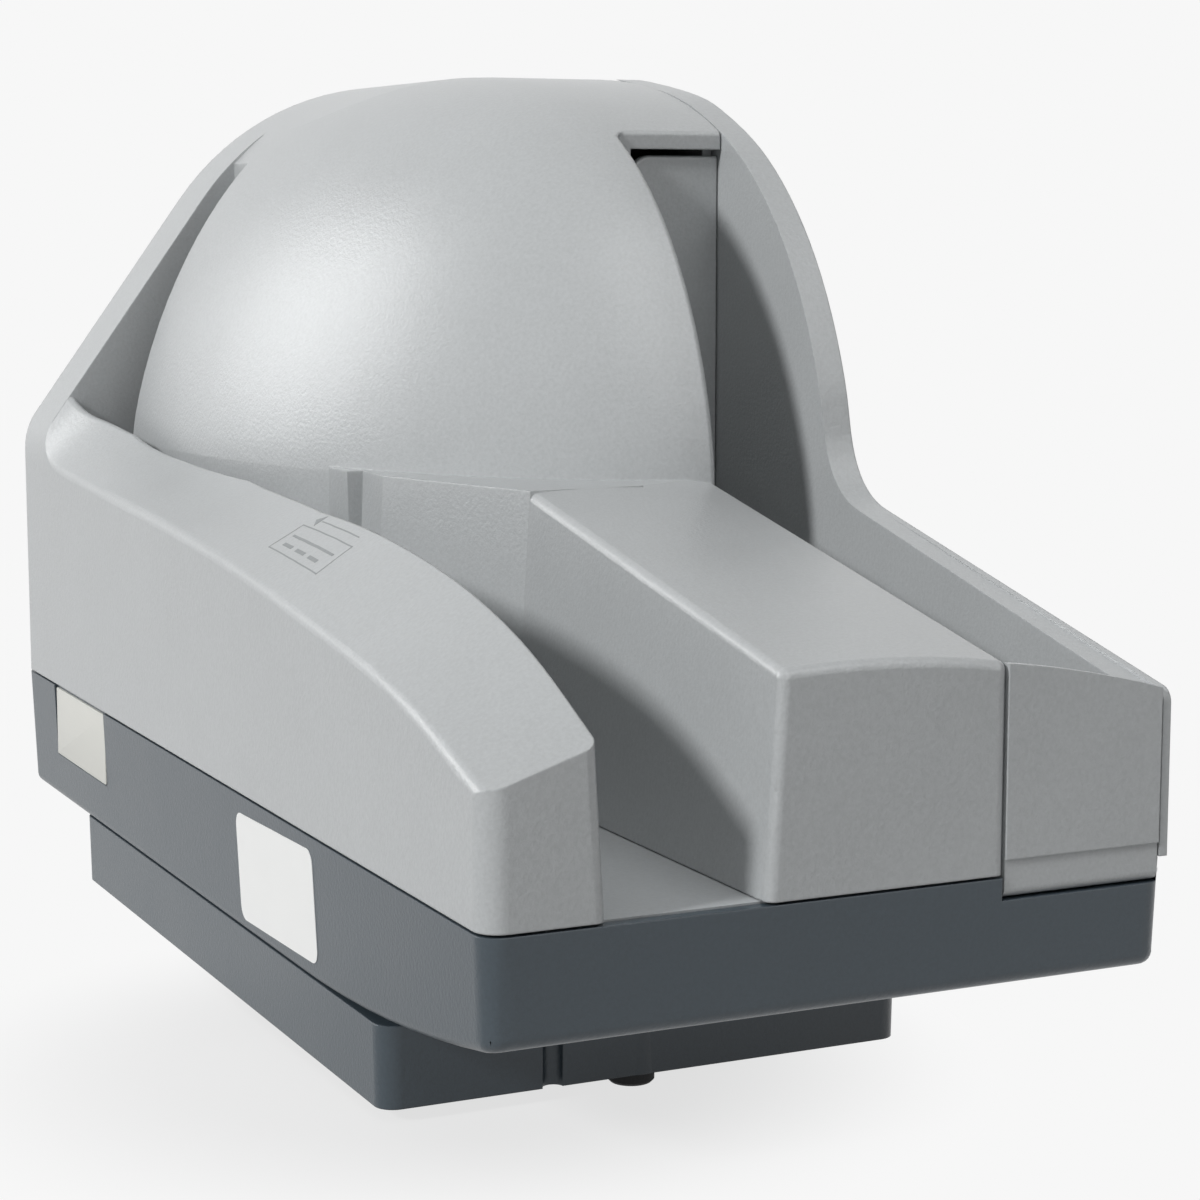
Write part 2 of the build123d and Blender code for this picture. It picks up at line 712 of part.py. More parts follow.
with BuildPart() as exit_flap:
    with BuildSketch(Plane.XZ.offset(-along(0))):
        with BuildLine():
            crest = [(across(x), up(z)) for x, z in flap_crest]
            Spline(*crest)
            Polyline(crest[-1], (crest[-1][0], up(flap_ridge)), (crest[0][0], up(flap_ridge)), crest[0])
        make_face()
    extrude(amount=-flap_thickness)
    strip = (strip_recess, strip_recess + flap_thickness)
    block((flap_left, flap_right), strip, (flap_axis[1], flap_ridge + 0.5))
    rod((flap_left, flap_right), flap_axis, flap_knuckle)
    rod((flap_left - 1, flap_right + 1), flap_axis, flap_pin + fit, Mode.SUBTRACT)
save("exit_flap", exit_flap.part, light_plastic)

with BuildPart() as flap_hinge_pin:
    rod((flap_left - 2.9, flap_right + 0.9), flap_axis, flap_pin)
save("flap_hinge_pin", flap_hinge_pin.part, steel)

# ---------------------------------------------------------------- cover hinge
foot_front = length - 16.5

with BuildPart() as hinge_brackets:
    for start, end in fixed_knuckles:
        block((start, end), (foot_front, cover_hinge[0] + 1), (deck_top, 2.0))
        block((start, end), (length - 12, cover_hinge[0]), (deck_top, cover_hinge[1]))
        rod((start, end), cover_hinge, knuckle)
        block((start - 1, end + 1), (deck_back + 0.3, length), (-20, deck_top), Mode.SUBTRACT)
    for start, end in fixed_knuckles:
        rod((start - 1, end + 1), cover_hinge, pin + 0.01, Mode.SUBTRACT)
save("hinge_brackets", hinge_brackets.part, steel)

with BuildPart() as hinge_pins:
    for start, end in fixed_knuckles:
        reach = running_gap + knuckle_length
        rod((start - reach, end + reach), cover_hinge, pin)
save("hinge_pins", hinge_pins.part, steel)

# ---------------------------------------------------------------- paper drive
pulley_radius = 8.0
motor_pulley_radius = 5.0
belt_span = (-16.5, -11.5)
belt_gap = 0.1
belt_thickness = 1.4
motor_side = 42.0
motor_height = 34.0

with BuildPart() as roller_bearings:
    for place in drive_places.values():
        for span in ((boss_bottom, boss_bottom + 3), (deck_top - 3, deck_top)):
            post(place, span, bearing_radius)
            post(place, span, shaft_radius + fit, Mode.SUBTRACT)
save("roller_bearings", roller_bearings.part, steel)

for name, place in drive_places.items():
    with BuildPart() as shaft:
        post(place, (-18, 41), shaft_radius)
    save(f"{name}_shaft", shaft.part, steel)
    with BuildPart() as hub:
        post(place, (tyre_span[0] - 1, tyre_span[1] + 1), drive_radius - 3.5)
        post(place, (tyre_span[0] - 2, tyre_span[1] + 2), shaft_radius, Mode.SUBTRACT)
    save(f"{name}_hub", hub.part, black_plastic)
    with BuildPart() as tyre:
        post(place, tyre_span, drive_radius)
        post(place, (tyre_span[0] - 1, tyre_span[1] + 1), drive_radius - 3.5, Mode.SUBTRACT)
    save(f"{name}_tyre", tyre.part, rubber)
    with BuildPart() as pulley:
        post(place, belt_span, pulley_radius)
        post(place, (belt_span[0] - 1, belt_span[0]), pulley_radius + 1.5)
        post(place, (belt_span[1], belt_span[1] + 1), pulley_radius + 1.5)
        post(place, (belt_span[0] - 2, belt_span[1] + 2), shaft_radius, Mode.SUBTRACT)
    save(f"{name}_pulley", pulley.part, white_plastic)

with BuildPart() as feed_motor:
    block(
        (motor_place[0] - motor_side / 2, motor_place[0] + motor_side / 2),
        (motor_place[1] - motor_side / 2, motor_place[1] + motor_side / 2),
        (deck_top, deck_top + motor_height),
    )
    chamfer(feed_motor.edges().filter_by(Axis.Z), 4.0)
    post(motor_place, (deck_bottom, deck_top), 11.0)
    post(motor_place, (deck_bottom - 1, deck_top + motor_height - 3), shaft_radius + fit, Mode.SUBTRACT)
save("feed_motor", feed_motor.part, black_plastic)

with BuildPart() as motor_shaft:
    post(motor_place, (-18, deck_top + motor_height - 4), shaft_radius)
save("motor_shaft", motor_shaft.part, steel)

with BuildPart() as motor_pulley:
    post(motor_place, belt_span, motor_pulley_radius)
    post(motor_place, (belt_span[0] - 1, belt_span[0]), motor_pulley_radius + 1.5)
    post(motor_place, (belt_span[1], belt_span[1] + 1), motor_pulley_radius + 1.5)
    post(motor_place, (belt_span[0] - 2, belt_span[1] + 2), shaft_radius, Mode.SUBTRACT)
save("motor_pulley", motor_pulley.part, white_plastic)


def belt_outline(gap):
    """Convex loop round the four pulleys, at a gap from them."""
    with BuildSketch() as outline:
        with BuildLine() as wraps:
            for place in drive_places.values():
                CenterArc((across(place[0]), along(place[1])), pulley_radius + gap, 0, 360)
            CenterArc((across(motor_place[0]), along(motor_place[1])), motor_pulley_radius + gap, 0, 360)
        make_hull(wraps.edges())
    return outline.sketch


with BuildPart() as drive_belt:
    with BuildSketch(Plane.XY.offset(up(belt_span[0]))):
        add(belt_outline(belt_gap + belt_thickness))
        add(belt_outline(belt_gap), mode=Mode.SUBTRACT)
    extrude(amount=belt_span[1] - belt_span[0])
save("drive_belt", drive_belt.part, rubber)

# ---------------------------------------------------------------- pinch rollers and separator
arm_span = (1.0, 5.0)
arm_half = 3.2
pinch_bore = 2.0
for name, pivot in pinch_pivots.items():
    place = (pinch_x, drive_places[name.replace("pinch", "drive")][1])
    with BuildPart() as arm:
        with BuildSketch(Plane.XY.offset(up(arm_span[0]))):
            with Locations((across((place[0] + pivot[0]) / 2), along((place[1] + pivot[1]) / 2))):
                SlotCenterToCenter(
                    hypot(pivot[0] - place[0], pivot[1] - place[1]),
                    2 * arm_half,
                    rotation=degrees(atan2(pivot[1] - place[1], pivot[0] - place[0])),
                )
        extrude(amount=arm_span[1] - arm_span[0])
        post(place, (arm_span[1], tyre_span[1] + 1), pinch_bore)
        post(place, (arm_span[1], tyre_span[0] - 0.3), pinch_bore + 1.2)
        post(pivot, (arm_span[0] - 1, arm_span[1] + 1), pivot_radius + fit, Mode.SUBTRACT)
    save(f"{name}_arm", arm.part, black_plastic)
    with BuildPart() as roller:
        post(place, tyre_span, pinch_radius)
        post(place, (tyre_span[0] - 1, tyre_span[1] + 1), pinch_bore + fit, Mode.SUBTRACT)
    save(f"{name}_roller", roller.part, white_plastic)

pad_front = 40.2
with BuildPart() as separator_arm:
    with BuildSketch(Plane.XY.offset(up(tyre_span[0]))):
        with BuildLine():
            px, py = separator_pivot
            corners = [
                (px - 2.6, py - 2.5),
                (pad_front - 4.9, 187.0),
                (pad_front - 4.9, 181.0),
                (pad_front - 2.4, 181.0),
                (pad_front - 2.4, 191.0),
                (px + 2.6, py + 2.5),
                (px - 2.6, py + 2.5),
            ]
            Polyline(*[(across(x), along(y)) for x, y in corners], close=True)
        make_face()
    extrude(amount=tyre_span[1] - tyre_span[0])
    post(separator_pivot, (tyre_span[0], tyre_span[1]), 3.2)
    post(separator_pivot, (tyre_span[0] - 1, tyre_span[1] + 1), pivot_radius + fit, Mode.SUBTRACT)
save("separator_arm", separator_arm.part, black_plastic)

with BuildPart() as separator_pad:
    block((pad_front - 2.4, pad_front), (181.5, 190.5), (tyre_span[0] + 1, tyre_span[1] - 1))
save("separator_pad", separator_pad.part, rubber)

with BuildPart() as pivot_pins:
    for pivot in pinch_pivots.values():
        post(pivot, (deck_bottom, arm_span[1] + 4.2), pivot_radius)
        post(pivot, (deck_top, arm_span[0] - 0.1), pivot_radius + 1.2)
    post(separator_pivot, (deck_bottom, tyre_span[1] + 4.2), pivot_radius)
    post(separator_pivot, (deck_top, tyre_span[0] - 0.1), pivot_radius + 1.2)
save("pivot_pins", pivot_pins.part, steel)

with BuildPart() as arm_springs:
    for pivot in pinch_pivots.values():
        post(pivot, (arm_span[1] + 0.2, arm_span[1] + 3.8), pivot_radius + 1.4)
        post(pivot, (arm_span[1], arm_span[1] + 4), pivot_radius, Mode.SUBTRACT)
    post(separator_pivot, (tyre_span[1] + 0.2, tyre_span[1] + 3.8), pivot_radius + 1.4)
    post(separator_pivot, (tyre_span[1], tyre_span[1] + 4), pivot_radius, Mode.SUBTRACT)
save("arm_springs", arm_springs.part, steel)

# ---------------------------------------------------------------- reading heads and printer
camera_top = 50.0
camera_depth = 13.2
camera_places = {
    "left_camera": (17.2, left_camera_place),
    "right_camera": (limb_left - 3, right_camera_place),
}
window_inset = 1.2
for name, (front_x, centre) in camera_places.items():
    x = (front_x - camera_depth, front_x)
    y = (centre - 7, centre + 7)
    window_x = (front_x - window_inset, front_x)
    with BuildPart() as camera:
        block(x, y, (deck_top, camera_top))
        chamfer(camera.edges().filter_by(Axis.Z).sort_by(Axis.X)[:2], 2.5)
        block(window_x, (y[0] + 4, y[1] - 4), (3, camera_top - 3), Mode.SUBTRACT)
        block((x[0] + 4, x[1] - 1), (y[0] + 5.5, y[1] - 5.5), (4, camera_top - 4), Mode.SUBTRACT)
    save(name, camera.part, black_plastic)
    with BuildPart() as window:
        block(window_x, (y[0] + 4, y[1] - 4), (3, camera_top - 3))
    save(f"{name}_window", window.part, glass)

with BuildPart() as micr_head:
    block((9, 22), (head_place - 5.5, head_place + 5.5), (deck_top, 21))
    nose = [(22, -4), (26.5, -1), (26.5, 1), (22, 4)]
    with BuildSketch(Plane.XY.offset(up(3))):
        add(plan([(x, head_place + y) for x, y in nose]))
    extrude(amount=16)
save("magnetic_head", micr_head.part, steel)

with BuildPart() as cartridge_cradle:
    cradle_y = printer_place + 2
    block((122, 139), (cradle_y - 10, cradle_y + 10), (deck_top, 12))
    block((124, 137), (cradle_y - 8, cradle_y + 8), (2, 13), Mode.SUBTRACT)
    block((121, 125), (printer_place - 3, printer_place + 3), (2, 13), Mode.SUBTRACT)
save("cartridge_cradle", cartridge_cradle.part, black_plastic)

with BuildPart() as ink_cartridge:
    block((124.2, 136.8), (cradle_y - 7.8, cradle_y + 7.8), (2.0, 42.0))
    block((121.2, 124.2), (printer_place - 2.8, printer_place + 2.8), (2.2, 12.0))
    fillet(ink_cartridge.edges().filter_by(Axis.Z).sort_by(Axis.X)[-2:], 2.0)
save("ink_cartridge", ink_cartridge.part, black_plastic)

# ---------------------------------------------------------------- electronics
board_bottom = floor_top + 3.0
board_thickness = 1.6
board_top = board_bottom + board_thickness

with BuildPart() as main_board:
    block((14, width - 14), (length - 132, length - 10), (board_bottom, board_top))
    for place in board_posts:
        post(place, (board_bottom - 1, board_top + 1), screw_radius, Mode.SUBTRACT)
save("main_board", main_board.part, board_green)

with BuildPart() as board_screws:
    for place in board_posts:
        post(place, (board_bottom, board_top), screw_radius - 0.1)
        post(place, (board_top, board_top + 1.2), screw_radius + 1.2)
save("board_screws", board_screws.part, steel)

with BuildPart() as board_components:
    chips_back = length - 68.0
    for x, y, thickness in (((60, 84), 24, 1.8), ((30, 44), 12, 1.4), ((96, 108), 12, 1.4)):
        block(x, (chips_back - y, chips_back), (board_top, board_top + thickness))
    for x, y in ((108, 26), (118, 26), (108, 14)):
        post((x, chips_back + y), (board_top, board_top + 8), 4.0)
save("board_components", board_components.part, black_plastic)

usb_wall = 1.0
usb_tongue = 3.5  # from the shell's outside to the tongue
with BuildPart() as usb_port:
    block(usb_span, (length - 17, length - 0.6), (board_top, usb_height[1]))
    hollow = (usb_span[0] + usb_wall, usb_span[1] - usb_wall)
    hollow_height = (board_top + usb_wall, usb_height[1] - usb_wall)
    block(hollow, (length - 12, length), hollow_height, Mode.SUBTRACT)
    tongue = (usb_span[0] + usb_tongue, usb_span[1] - usb_tongue)
    tongue_height = (board_top + usb_tongue, usb_height[1] - usb_tongue)
    block(tongue, (length - 12, length - 3), tongue_height)
save("usb_port", usb_port.part, steel)

with BuildPart() as power_inlet:
    block(inlet_span, (length - 17, length - 0.6), (board_top, inlet_height[1]))
    mouth = (across(sum(inlet_span) / 2), along(length - 6), up(inlet_height[1] - 5.6))
    with Locations(Location(mouth, (90, 0, 0))):
        Cylinder(4.0, 12, mode=Mode.SUBTRACT)
        Cylinder(1.0, 12)
    block(inlet_span, (length - 14, length - 12), (board_top, inlet_height[1]))
save("power_inlet", power_inlet.part, black_plastic)
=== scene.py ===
"""Looks of a desktop cheque scanner, laid out as an add-on and run as a script.

Metres in the row frame: X to the right, Y to the back, Z up, origin under the middle of the machine.
Sizes in the helpers are millimetres from the left side, from the front face and from the parting
plane, where the light covers meet the dark base.
"""

from math import pi, radians, tan

import bmesh
import bpy
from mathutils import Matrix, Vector


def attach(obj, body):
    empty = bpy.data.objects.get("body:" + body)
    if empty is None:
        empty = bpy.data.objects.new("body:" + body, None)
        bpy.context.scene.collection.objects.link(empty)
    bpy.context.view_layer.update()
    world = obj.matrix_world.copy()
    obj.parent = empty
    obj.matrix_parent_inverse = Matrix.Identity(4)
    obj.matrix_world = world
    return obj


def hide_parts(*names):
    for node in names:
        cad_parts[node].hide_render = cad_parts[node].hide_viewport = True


bl_info = {
    "name": "Cheque scanner",
    "version": (1, 0, 0),
    "blender": (4, 5, 0),
    "location": "View3D > Sidebar > Scanner",
    "description": "Finishes and small pieces of a desktop cheque scanner",
    "category": "Object",
}

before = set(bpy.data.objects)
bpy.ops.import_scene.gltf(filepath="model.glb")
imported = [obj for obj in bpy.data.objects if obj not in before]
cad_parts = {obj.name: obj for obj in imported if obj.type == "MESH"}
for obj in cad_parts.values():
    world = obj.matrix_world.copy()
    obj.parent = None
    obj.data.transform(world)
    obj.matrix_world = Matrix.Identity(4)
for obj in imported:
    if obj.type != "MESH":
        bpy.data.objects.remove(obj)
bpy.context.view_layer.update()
bpy.ops.object.select_all(action="DESELECT")

MM = 0.001
WIDTH, LENGTH, PARTING = 150.0, 332.0, 53.0
BASE_DRAFT = radians(2.2)
BOTTOM = -32.5  # the base's bottom, from the parting plane
SHARP = radians(35)  # edges sharper than this are rounded, or shaded as edges
CLOSE = 0.00012  # points nearer than this are made one after a rounding, which can swallow a thin face
PAINTED_PIT_SHADE = 0.16  # painted shade: how much darker the pits of a grain are painted than its peaks, standing in for the shading of the grain's relief


def distances(point):
    """The three distances in millimetres of a point of the row frame."""
    return point.x / MM + WIDTH / 2, point.y / MM + LENGTH / 2, point.z / MM - PARTING


def at(x, y, z):
    """Point of the row frame, in metres, from the three distances in millimetres."""
    return Vector(((x - WIDTH / 2) * MM, (y - LENGTH / 2) * MM, (PARTING + z) * MM))


# ------------------------------------------------------------------ finishes


class Value:
    """Output socket of a shader node that plain arithmetic works on."""

    def __init__(self, shading, socket):
        self.shading = shading
        self.socket = socket

    def worked(self, operation, first, second):
        return self.shading.node("ShaderNodeMath", {"operation": operation}, [first, second])

    def either(self, other):
        """The larger of two masks."""
        return self.worked("MAXIMUM", self, other)

    def __add__(self, other):
        return self.worked("ADD", self, other)

    def __radd__(self, other):
        return self.worked("ADD", other, self)

    def __sub__(self, other):
        return self.worked("SUBTRACT", self, other)

    def __rsub__(self, other):
        return self.worked("SUBTRACT", other, self)

    def __mul__(self, other):
        return self.worked("MULTIPLY", self, other)

    def __rmul__(self, other):
        return self.worked("MULTIPLY", other, self)

    def __gt__(self, other):
        return self.worked("GREATER_THAN", self, other)


class Shading:
    """Node tree of a material or of the world."""

    def __init__(self, tree):
        self.tree = tree

    def join(self, value, socket):
        """Value or number put on a socket."""
        if isinstance(value, Value):
            self.tree.links.new(value.socket, socket)
        else:
            socket.default_value = value

    def node(self, kind, settings, inputs, output=0):
        """Node of a kind with its settings and inputs, and one of its outputs."""
        node = self.tree.nodes.new(kind)
        for setting, value in settings.items():
            setattr(node, setting, value)
        pairs = inputs.items() if isinstance(inputs, dict) else enumerate(inputs)
        for key, value in pairs:
            self.join(value, node.inputs[key])
        return Value(self, node.outputs[output])


class Finish(Shading):
    """One material, built node by node."""

    def __init__(self, name, **sockets):
        self.material = bpy.data.materials.new(name)
        self.material.use_nodes = True
        super().__init__(self.material.node_tree)
        self.shader = self.tree.nodes["Principled BSDF"]
        self.output = self.tree.nodes["Material Output"]
        for socket, value in sockets.items():
            self.set(socket.replace("_", " "), value)

    def set(self, socket, value):
        """Value on one of the shader's own sockets."""
        self.join(value, self.shader.inputs[socket])

    def place(self):
        """Place on the piece, in metres."""
        return self.node("ShaderNodeTexCoord", {}, {}, "Object")

    def stretched(self, scale):
        """Place with each axis stretched."""
        return self.node("ShaderNodeMapping", {}, {"Vector": self.place(), "Scale": scale})

    def noise(self, size, detail=2.0, roughness=0.5, place=None):
        """Noise with spots of a size in metres, from 0 to 1."""
        inputs = {
            "Vector": place or self.place(),
            "Scale": 1 / size,
            "Detail": detail,
            "Roughness": roughness,
        }
        return self.node("ShaderNodeTexNoise", {}, inputs, "Fac")

    def tint(self, amount, low, high):
        """Colour between two, by an amount from 0 to 1."""
        return self.node(
            "ShaderNodeMix", {"data_type": "RGBA"}, {0: amount, 6: (*low, 1), 7: (*high, 1)}, 2
        )

    def relief(self, height, depth, edge=0.0):
        """Fine relief of the surface with its depth in metres, over edges softened by a radius."""
        inputs = {"Strength": 1.0, "Distance": depth, "Height": height}
        if edge:
            inputs["Normal"] = self.node("ShaderNodeBevel", {"samples": 4}, {"Radius": edge}, "Normal")
        self.set("Normal", self.node("ShaderNodeBump", {}, inputs, "Normal"))

    def seen_as(self, shown, share):
        """To the camera and in reflections, mostly a light of one even colour."""
        straight = self.node("ShaderNodeLightPath", {}, {}, "Is Camera Ray")
        mirrored = self.node("ShaderNodeLightPath", {}, {}, "Is Glossy Ray")
        lamp = self.node("ShaderNodeEmission", {}, {"Color": (*shown, 1), "Strength": 1.0}, "Emission")
        lit = Value(self, self.shader.outputs["BSDF"])
        mixed = self.node("ShaderNodeMixShader", {}, [share * (straight + mirrored), lit, lamp])
        self.join(mixed, self.output.inputs["Surface"])


def scaled(colour, factor):
    """Colour made lighter or darker."""
    return tuple(min(1.0, channel * factor) for channel in colour[:3])


def grained(name, colour, roughness, grain=0.0009, depth=0.0001, uneven=0.03, edge=0.0, **sockets):
    """Moulded plastic with a fine grain, slightly uneven in colour and gloss, with painted shade in the
    grain's pits and painted light on its peaks.
    """
    finish = Finish(name, **sockets)
    patches = finish.noise(size=0.03, detail=3.0)
    spots = finish.noise(size=grain, detail=4.0, roughness=0.6)
    # colour range: random unevenness, plus the grain's painted shade in its pits and painted light on its
    # peaks
    low, high = scaled(colour, 1 - uneven - PAINTED_PIT_SHADE), scaled(colour, 1 + uneven + PAINTED_PIT_SHADE)
    finish.set("Base Color", finish.tint(0.25 * patches + 0.75 * spots, low, high))
    finish.set("Roughness", roughness + 0.10 * (spots - 0.5) + 0.06 * (patches - 0.5))
    finish.relief(spots, depth, edge)
    return finish.material


def brushed(name, colour, roughness, along):
    """Bare metal with fine lines along one axis."""
    finish = Finish(name, Metallic=1.0)
    scale = [1.0, 1.0, 1.0]
    scale[along] = 0.03
    lines = finish.noise(size=0.0004, detail=3.0, roughness=0.6, place=finish.stretched(scale))
    finish.set("Base Color", finish.tint(lines, scaled(colour, 0.9), scaled(colour, 1.08)))
    finish.set("Roughness", roughness + 0.2 * (lines - 0.5))
    finish.relief(lines, depth=0.00001)
    return finish.material


def clear_window(name, colour):
    """Clear acrylic with faint wiping marks."""
    finish = Finish(name, Transmission_Weight=0.85, IOR=1.49)
    marks = finish.noise(size=0.004, detail=4.0, roughness=0.7, place=finish.stretched((1, 4, 1)))
    finish.set("Base Color", finish.tint(marks, scaled(colour, 0.97), colour))
    finish.set("Roughness", 0.04 + 0.08 * marks)
    finish.relief(marks, depth=0.000004)
    return finish.material


def circuit(name, colour):
    """Board with faint copper lines under its mask."""
    finish = Finish(name)
    line_start = 0.42
    cells = finish.node(
        "ShaderNodeTexVoronoi",
        {"distance": "CHEBYCHEV"},
        {"Vector": finish.place(), "Scale": 180.0, "Randomness": 0.35},
        "Distance",
    )
    tracks = cells > line_start
    finish.set("Base Color", finish.tint(tracks, colour, scaled(colour, 1.7)))
    finish.set("Roughness", 0.32 + 0.1 * tracks)
    finish.relief(tracks, depth=0.00003)
    return finish.material


def paper(name, colour):
    """Coated label paper with faint fibres."""
    finish = Finish(name)
    fibres = finish.noise(size=0.0009, detail=5.0, roughness=0.7, place=finish.stretched((1, 0.35, 1)))
    clouds = finish.noise(size=0.012, detail=2.0)
    finish.set("Base Color", finish.tint(clouds, scaled(colour, 0.975), colour))
    finish.set("Roughness", 0.42 + 0.12 * fibres)
    finish.relief(fibres, depth=0.00001)
    return finish.material


# ------------------------------------------------------------------ shaping


def only(piece):
    """Selects one piece alone and makes it the active one."""
    bpy.ops.object.select_all(action="DESELECT")
    piece.select_set(True)
    bpy.context.view_layer.objects.active = piece


def slab(name, size, centre):
    """Box with its size in metres, centred at a place in metres."""
    bpy.ops.object.select_all(action="DESELECT")
    bpy.ops.mesh.primitive_cube_add(size=1, location=centre)
    piece = bpy.context.object
    piece.name = piece.data.name = name
    piece.scale = size
    bpy.ops.object.transform_apply(location=False, rotation=False, scale=True)
    return piece


def bevel_edges(piece, chosen, width, segments):
    """Rounds the edges that a test on their middle and direction chooses."""
    only(piece)
    bpy.ops.object.mode_set(mode="EDIT")
    bpy.ops.mesh.select_mode(type="EDGE")
    bpy.ops.mesh.select_all(action="DESELECT")
    mesh = bmesh.from_edit_mesh(piece.data)
    for edge in mesh.edges:
        first, last = (vertex.co for vertex in edge.verts)
        edge.select_set(chosen((first + last) / 2, (last - first).normalized()))
    bmesh.update_edit_mesh(piece.data)
    bpy.ops.mesh.bevel(offset=width, segments=segments, profile=0.5, affect="EDGES")
    bpy.ops.object.mode_set(mode="OBJECT")


def cut(piece, tool):
    """Takes the tool's form out of the piece and removes the tool."""
    only(piece)
    work = piece.modifiers.new("cut", "BOOLEAN")
    work.operation = "DIFFERENCE"
    work.object = tool
    bpy.ops.object.modifier_apply(modifier=work.name)
    bpy.data.objects.remove(tool)


def joined(pieces, name):
    """Several pieces made one."""
    only(pieces[0])
    for piece in pieces:
        piece.select_set(True)
    bpy.ops.object.join()
    pieces[0].name = pieces[0].data.name = name
    return pieces[0]


def soften(piece, chosen, width, segments):
    """Rounds the sharp outward edges whose middle a test on the three distances chooses."""
    only(piece)
    bpy.ops.object.mode_set(mode="EDIT")
    bpy.ops.mesh.select_mode(type="EDGE")
    bpy.ops.mesh.select_all(action="DESELECT")
    mesh = bmesh.from_edit_mesh(piece.data)
    for edge in mesh.edges:
        if len(edge.link_faces) == 2 and edge.is_convex and edge.calc_face_angle() > SHARP:
            first, last = (vertex.co for vertex in edge.verts)
            edge.select_set(chosen(distances((first + last) / 2)))
    bmesh.update_edit_mesh(piece.data)
    bpy.ops.mesh.bevel(offset=width, segments=segments, profile=0.5, affect="EDGES", clamp_overlap=True)
    bpy.ops.mesh.select_all(action="SELECT")
    bpy.ops.mesh.remove_doubles(threshold=CLOSE)
    bpy.ops.mesh.dissolve_degenerate(threshold=CLOSE)
    bpy.ops.object.mode_set(mode="OBJECT")


def moulding(node):
    """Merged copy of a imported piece, with its flat faces made whole and its own normals dropped."""
    doubled, flat = 0.000002, radians(0.4)
    bpy.ops.object.select_all(action="DESELECT")
    piece = bpy.data.objects.new(f"{node}_moulding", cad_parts[node].data.copy())
    bpy.context.collection.objects.link(piece)
    only(piece)
    bpy.ops.mesh.customdata_custom_splitnormals_clear()
    bpy.ops.object.mode_set(mode="EDIT")
    bpy.ops.mesh.select_all(action="SELECT")
    bpy.ops.mesh.remove_doubles(threshold=doubled)
    bpy.ops.mesh.dissolve_limited(angle_limit=flat)
    bpy.ops.object.mode_set(mode="OBJECT")
    return piece


def shade_broad(piece):
    """Shades a finished moulding so that its broad faces stay even up to their rounded edges."""
    only(piece)
    work = piece.modifiers.new("broad", "WEIGHTED_NORMAL")
    work.keep_sharp = True
    work.weight = 90
    bpy.ops.object.modifier_apply(modifier=work.name)


def copied(model, name, place, turn=(0, 0, 0)):
    """Copy of a modelled piece with its own mesh, at a place and turned."""
    piece = model.copy()
    piece.data = model.data.copy()
    piece.name = piece.data.name = name
    piece.location = place
    piece.rotation_euler = turn
    bpy.context.collection.objects.link(piece)
    return piece


def screw_head(radius, height):
    """Pan head with a cross recess, standing on the origin."""
    bpy.ops.object.select_all(action="DESELECT")
    middle = (0, 0, height / 2)
    bpy.ops.mesh.primitive_cylinder_add(vertices=32, radius=radius, depth=height, location=middle)
    head = bpy.context.object
    bpy.ops.object.transform_apply(location=True, rotation=True, scale=True)
    rim = height * 0.55
    bevel_edges(head, lambda place, way: place.z > height * 0.9 and abs(way.z) < 0.1, rim, 4)
    length, breadth = radius * 1.05, radius * 0.24
    for turn in (0, pi / 2):
        bar = slab("recess", (length, breadth, height), (0, 0, height * 0.92))
        bar.rotation_euler = (0, 0, turn)
        cut(head, bar)
    return head


def settle(piece, material, body):
    """Finished piece: place in its mesh, shaded by angle, with its finish, body and slot."""
    only(piece)
    bpy.ops.object.transform_apply(location=True, rotation=True, scale=True)
    bpy.ops.object.shade_smooth_by_angle(angle=SHARP)
    piece.data.materials.clear()
    piece.data.materials.append(material)
    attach(piece, body)
    bpy.ops.object.select_all(action="DESELECT")


def side_place(y, z, out):
    """Point on the base's drafted left side, a little outside it."""
    rim = -0.6
    return at(tan(BASE_DRAFT) * (rim - z) - out, y, z)


# ------------------------------------------------------------------ settings


def colour_property(name, description, default):
    """Colour with a default, shown as a swatch."""
    return bpy.props.FloatVectorProperty(
        name=name, description=description, default=default, subtype="COLOR", size=3, min=0, max=1
    )


def length_property(name, description, default):
    """Length in metres."""
    return bpy.props.FloatProperty(name=name, description=description, default=default, unit="LENGTH", min=0)


class ScannerColours(bpy.types.PropertyGroup):
    """Colours of the machine's materials."""

    cover: colour_property("Covers", "Light grey moulding of the covers", (0.450, 0.467, 0.474))
    base: colour_property("Base", "Dark grey moulding of the base", (0.052, 0.070, 0.085))
    inside: colour_property("Deck", "Moulding of the deck inside", (0.46, 0.48, 0.49))
    fittings: colour_property("Fittings", "Black moulding of hubs and cameras", (0.018, 0.018, 0.020))
    acetal: colour_property("Pulleys", "White acetal of pulleys and pinch rollers", (0.74, 0.73, 0.69))
    rubber: colour_property("Rubber", "Tyres, belt, pad and feet", (0.022, 0.022, 0.023))
    steel: colour_property("Steel", "Bare steel of shafts and pins", (0.60, 0.61, 0.62))
    dark_steel: colour_property("Dark steel", "Blackened steel of the case screws", (0.10, 0.10, 0.105))
    board: colour_property("Board", "Solder mask of the circuit board", (0.015, 0.13, 0.055))
    label: colour_property("Label", "Blank label on the side", (0.90, 0.905, 0.895))
    mark: colour_property("Mark", "Lines of the feed mark", (0.27, 0.285, 0.29))
    floor: colour_property("Floor", "Floor and background", (0.93, 0.93, 0.93))


